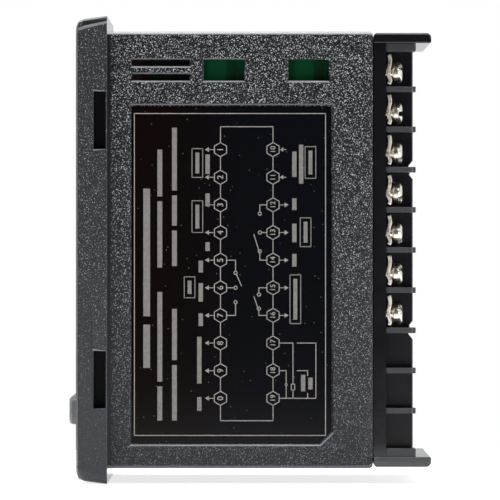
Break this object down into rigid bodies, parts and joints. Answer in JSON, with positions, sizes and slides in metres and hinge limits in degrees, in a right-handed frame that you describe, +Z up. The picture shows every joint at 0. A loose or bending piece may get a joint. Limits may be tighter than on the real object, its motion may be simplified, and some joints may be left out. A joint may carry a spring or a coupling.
{
  "type": "temperature controller",
  "caption": "Square panel-mounted temperature controller with a front frame, display window, press keys, a vented case and rear columns of screw terminals.",
  "frame": {"origin": "centre of the front frame's back face, which bears on the panel", "axes": "+Z up, the front looks along -Y, the terminals look along +Y, +X is the operator's right"},
  "size_m": [0.096, 0.0745, 0.096],
  "materials": {
    "case_plastic": "spark-eroded grain",
    "block_plastic": "smooth moulded",
    "smoked_pane": "polished",
    "switch_plastic": "moulded",
    "display_face": "matt front",
    "lamp": "diffused",
    "circuit_board": "solder mask",
    "label_film": "glossy film",
    "plated_brass": "tin plated",
    "header_plastic": "moulded",
    "potting": "moulded",
    "capacitor_sleeve": "shrink sleeve",
    "relay_plastic": "moulded",
    "chip_plastic": "moulded",
    "key_plastic": "fine matt",
    "plated_steel": "nickel plated"
  },
  "bodies": {
    "root": {"front_bezel": "case_plastic", "case_sleeve": "case_plastic", "terminal_block": "block_plastic", "display_window": "smoked_pane", "switch_housings": "switch_plastic", "upper_display": "display_face", "lower_display": "display_face", "status_leds": "lamp", "display_board": "circuit_board", "control_board": "circuit_board", "power_board": "circuit_board", "nameplate": "label_film", "terminal_tabs": "plated_brass", "board_headers": "header_plastic", "transformer": "potting", "capacitors": "capacitor_sleeve", "relays": "relay_plastic", "chips": "chip_plastic"},
    "set_button": {"set_key": "key_plastic", "set_plunger": "switch_plastic"},
    "shift_button": {"shift_key": "key_plastic", "shift_plunger": "switch_plastic"},
    "down_button": {"down_key": "key_plastic", "down_plunger": "switch_plastic"},
    "up_button": {"up_key": "key_plastic", "up_plunger": "switch_plastic"},
    "right_clamp_body_1": {"right_clamp_1": "plated_steel"},
    "right_screw_body_1": {"right_screw_1": "plated_steel"},
    "right_clamp_body_2": {"right_clamp_2": "plated_steel"},
    "right_screw_body_2": {"right_screw_2": "plated_steel"},
    "right_clamp_body_3": {"right_clamp_3": "plated_steel"},
    "right_screw_body_3": {"right_screw_3": "plated_steel"},
    "right_clamp_body_4": {"right_clamp_4": "plated_steel"},
    "right_screw_body_4": {"right_screw_4": "plated_steel"},
    "right_clamp_body_5": {"right_clamp_5": "plated_steel"},
    "right_screw_body_5": {"right_screw_5": "plated_steel"},
    "right_clamp_body_6": {"right_clamp_6": "plated_steel"},
    "right_screw_body_6": {"right_screw_6": "plated_steel"},
    "right_clamp_body_7": {"right_clamp_7": "plated_steel"},
    "right_screw_body_7": {"right_screw_7": "plated_steel"},
    "left_clamp_body_1": {"left_clamp_1": "plated_steel"},
    "left_screw_body_1": {"left_screw_1": "plated_steel"},
    "left_clamp_body_2": {"left_clamp_2": "plated_steel"},
    "left_screw_body_2": {"left_screw_2": "plated_steel"},
    "left_clamp_body_3": {"left_clamp_3": "plated_steel"},
    "left_screw_body_3": {"left_screw_3": "plated_steel"},
    "left_clamp_body_4": {"left_clamp_4": "plated_steel"},
    "left_screw_body_4": {"left_screw_4": "plated_steel"},
    "left_clamp_body_5": {"left_clamp_5": "plated_steel"},
    "left_screw_body_5": {"left_screw_5": "plated_steel"},
    "left_clamp_body_6": {"left_clamp_6": "plated_steel"},
    "left_screw_body_6": {"left_screw_6": "plated_steel"},
    "left_clamp_body_7": {"left_clamp_7": "plated_steel"},
    "left_screw_body_7": {"left_screw_7": "plated_steel"},
    "left_clamp_body_8": {"left_clamp_8": "plated_steel"},
    "left_screw_body_8": {"left_screw_8": "plated_steel"},
    "left_clamp_body_9": {"left_clamp_9": "plated_steel"},
    "left_screw_body_9": {"left_screw_9": "plated_steel"},
    "left_clamp_body_10": {"left_clamp_10": "plated_steel"},
    "left_screw_body_10": {"left_screw_10": "plated_steel"}
  },
  "joints": [
    {"name": "set_press", "type": "slide", "parent": "root", "child": "set_button", "axis": [0, 1, 0], "range_m": [0, 0.00035], "stiffness_N_per_m": 2500},
    {"name": "shift_press", "type": "slide", "parent": "root", "child": "shift_button", "axis": [0, 1, 0], "range_m": [0, 0.00035], "stiffness_N_per_m": 2500},
    {"name": "down_press", "type": "slide", "parent": "root", "child": "down_button", "axis": [0, 1, 0], "range_m": [0, 0.00035], "stiffness_N_per_m": 2500},
    {"name": "up_press", "type": "slide", "parent": "root", "child": "up_button", "axis": [0, 1, 0], "range_m": [0, 0.00035], "stiffness_N_per_m": 2500},
    {"name": "right_lift_1", "type": "slide", "parent": "root", "child": "right_clamp_body_1", "axis": [0, 1, 0], "range_m": [0, 0.0015]},
    {"name": "right_turn_1", "type": "hinge", "parent": "right_clamp_body_1", "child": "right_screw_body_1", "pos_m": [0.0397, 0.06, 0.03633], "axis": [0, 1, 0], "range_deg": [0, 1080]},
    {"name": "right_lift_2", "type": "slide", "parent": "root", "child": "right_clamp_body_2", "axis": [0, 1, 0], "range_m": [0, 0.0015]},
    {"name": "right_turn_2", "type": "hinge", "parent": "right_clamp_body_2", "child": "right_screw_body_2", "pos_m": [0.0397, 0.06, 0.02807], "axis": [0, 1, 0], "range_deg": [0, 1080]},
    {"name": "right_lift_3", "type": "slide", "parent": "root", "child": "right_clamp_body_3", "axis": [0, 1, 0], "range_m": [0, 0.0015]},
    {"name": "right_turn_3", "type": "hinge", "parent": "right_clamp_body_3", "child": "right_screw_body_3", "pos_m": [0.0397, 0.06, 0.01982], "axis": [0, 1, 0], "range_deg": [0, 1080]},
    {"name": "right_lift_4", "type": "slide", "parent": "root", "child": "right_clamp_body_4", "axis": [0, 1, 0], "range_m": [0, 0.0015]},
    {"name": "right_turn_4", "type": "hinge", "parent": "right_clamp_body_4", "child": "right_screw_body_4", "pos_m": [0.0397, 0.06, 0.01158], "axis": [0, 1, 0], "range_deg": [0, 1080]},
    {"name": "right_lift_5", "type": "slide", "parent": "root", "child": "right_clamp_body_5", "axis": [0, 1, 0], "range_m": [0, 0.0015]},
    {"name": "right_turn_5", "type": "hinge", "parent": "right_clamp_body_5", "child": "right_screw_body_5", "pos_m": [0.0397, 0.06, 0.00332], "axis": [0, 1, 0], "range_deg": [0, 1080]},
    {"name": "right_lift_6", "type": "slide", "parent": "root", "child": "right_clamp_body_6", "axis": [0, 1, 0], "range_m": [0, 0.0015]},
    {"name": "right_turn_6", "type": "hinge", "parent": "right_clamp_body_6", "child": "right_screw_body_6", "pos_m": [0.0397, 0.06, -0.00492], "axis": [0, 1, 0], "range_deg": [0, 1080]},
    {"name": "right_lift_7", "type": "slide", "parent": "root", "child": "right_clamp_body_7", "axis": [0, 1, 0], "range_m": [0, 0.0015]},
    {"name": "right_turn_7", "type": "hinge", "parent": "right_clamp_body_7", "child": "right_screw_body_7", "pos_m": [0.0397, 0.06, -0.01317], "axis": [0, 1, 0], "range_deg": [0, 1080]},
    {"name": "left_lift_1", "type": "slide", "parent": "root", "child": "left_clamp_body_1", "axis": [0, 1, 0], "range_m": [0, 0.0015]},
    {"name": "left_turn_1", "type": "hinge", "parent": "left_clamp_body_1", "child": "left_screw_body_1", "pos_m": [-0.0397, 0.06, 0.03633], "axis": [0, 1, 0], "range_deg": [0, 1080]},
    {"name": "left_lift_2", "type": "slide", "parent": "root", "child": "left_clamp_body_2", "axis": [0, 1, 0], "range_m": [0, 0.0015]},
    {"name": "left_turn_2", "type": "hinge", "parent": "left_clamp_body_2", "child": "left_screw_body_2", "pos_m": [-0.0397, 0.06, 0.02807], "axis": [0, 1, 0], "range_deg": [0, 1080]},
    {"name": "left_lift_3", "type": "slide", "parent": "root", "child": "left_clamp_body_3", "axis": [0, 1, 0], "range_m": [0, 0.0015]},
    {"name": "left_turn_3", "type": "hinge", "parent": "left_clamp_body_3", "child": "left_screw_body_3", "pos_m": [-0.0397, 0.06, 0.01982], "axis": [0, 1, 0], "range_deg": [0, 1080]},
    {"name": "left_lift_4", "type": "slide", "parent": "root", "child": "left_clamp_body_4", "axis": [0, 1, 0], "range_m": [0, 0.0015]},
    {"name": "left_turn_4", "type": "hinge", "parent": "left_clamp_body_4", "child": "left_screw_body_4", "pos_m": [-0.0397, 0.06, 0.01158], "axis": [0, 1, 0], "range_deg": [0, 1080]},
    {"name": "left_lift_5", "type": "slide", "parent": "root", "child": "left_clamp_body_5", "axis": [0, 1, 0], "range_m": [0, 0.0015]},
    {"name": "left_turn_5", "type": "hinge", "parent": "left_clamp_body_5", "child": "left_screw_body_5", "pos_m": [-0.0397, 0.06, 0.00332], "axis": [0, 1, 0], "range_deg": [0, 1080]},
    {"name": "left_lift_6", "type": "slide", "parent": "root", "child": "left_clamp_body_6", "axis": [0, 1, 0], "range_m": [0, 0.0015]},
    {"name": "left_turn_6", "type": "hinge", "parent": "left_clamp_body_6", "child": "left_screw_body_6", "pos_m": [-0.0397, 0.06, -0.00492], "axis": [0, 1, 0], "range_deg": [0, 1080]},
    {"name": "left_lift_7", "type": "slide", "parent": "root", "child": "left_clamp_body_7", "axis": [0, 1, 0], "range_m": [0, 0.0015]},
    {"name": "left_turn_7", "type": "hinge", "parent": "left_clamp_body_7", "child": "left_screw_body_7", "pos_m": [-0.0397, 0.06, -0.01317], "axis": [0, 1, 0], "range_deg": [0, 1080]},
    {"name": "left_lift_8", "type": "slide", "parent": "root", "child": "left_clamp_body_8", "axis": [0, 1, 0], "range_m": [0, 0.0015]},
    {"name": "left_turn_8", "type": "hinge", "parent": "left_clamp_body_8", "child": "left_screw_body_8", "pos_m": [-0.0397, 0.06, -0.02142], "axis": [0, 1, 0], "range_deg": [0, 1080]},
    {"name": "left_lift_9", "type": "slide", "parent": "root", "child": "left_clamp_body_9", "axis": [0, 1, 0], "range_m": [0, 0.0015]},
    {"name": "left_turn_9", "type": "hinge", "parent": "left_clamp_body_9", "child": "left_screw_body_9", "pos_m": [-0.0397, 0.06, -0.02967], "axis": [0, 1, 0], "range_deg": [0, 1080]},
    {"name": "left_lift_10", "type": "slide", "parent": "root", "child": "left_clamp_body_10", "axis": [0, 1, 0], "range_m": [0, 0.0015]},
    {"name": "left_turn_10", "type": "hinge", "parent": "left_clamp_body_10", "child": "left_screw_body_10", "pos_m": [-0.0397, 0.06, -0.03793], "axis": [0, 1, 0], "range_deg": [0, 1080]}
  ],
  "couplings": [
    {"joint": "right_turn_1", "follows": "right_lift_1", "rad_per_m": 12566},
    {"joint": "right_turn_2", "follows": "right_lift_2", "rad_per_m": 12566},
    {"joint": "right_turn_3", "follows": "right_lift_3", "rad_per_m": 12566},
    {"joint": "right_turn_4", "follows": "right_lift_4", "rad_per_m": 12566},
    {"joint": "right_turn_5", "follows": "right_lift_5", "rad_per_m": 12566},
    {"joint": "right_turn_6", "follows": "right_lift_6", "rad_per_m": 12566},
    {"joint": "right_turn_7", "follows": "right_lift_7", "rad_per_m": 12566},
    {"joint": "left_turn_1", "follows": "left_lift_1", "rad_per_m": 12566},
    {"joint": "left_turn_2", "follows": "left_lift_2", "rad_per_m": 12566},
    {"joint": "left_turn_3", "follows": "left_lift_3", "rad_per_m": 12566},
    {"joint": "left_turn_4", "follows": "left_lift_4", "rad_per_m": 12566},
    {"joint": "left_turn_5", "follows": "left_lift_5", "rad_per_m": 12566},
    {"joint": "left_turn_6", "follows": "left_lift_6", "rad_per_m": 12566},
    {"joint": "left_turn_7", "follows": "left_lift_7", "rad_per_m": 12566},
    {"joint": "left_turn_8", "follows": "left_lift_8", "rad_per_m": 12566},
    {"joint": "left_turn_9", "follows": "left_lift_9", "rad_per_m": 12566},
    {"joint": "left_turn_10", "follows": "left_lift_10", "rad_per_m": 12566}
  ]
}
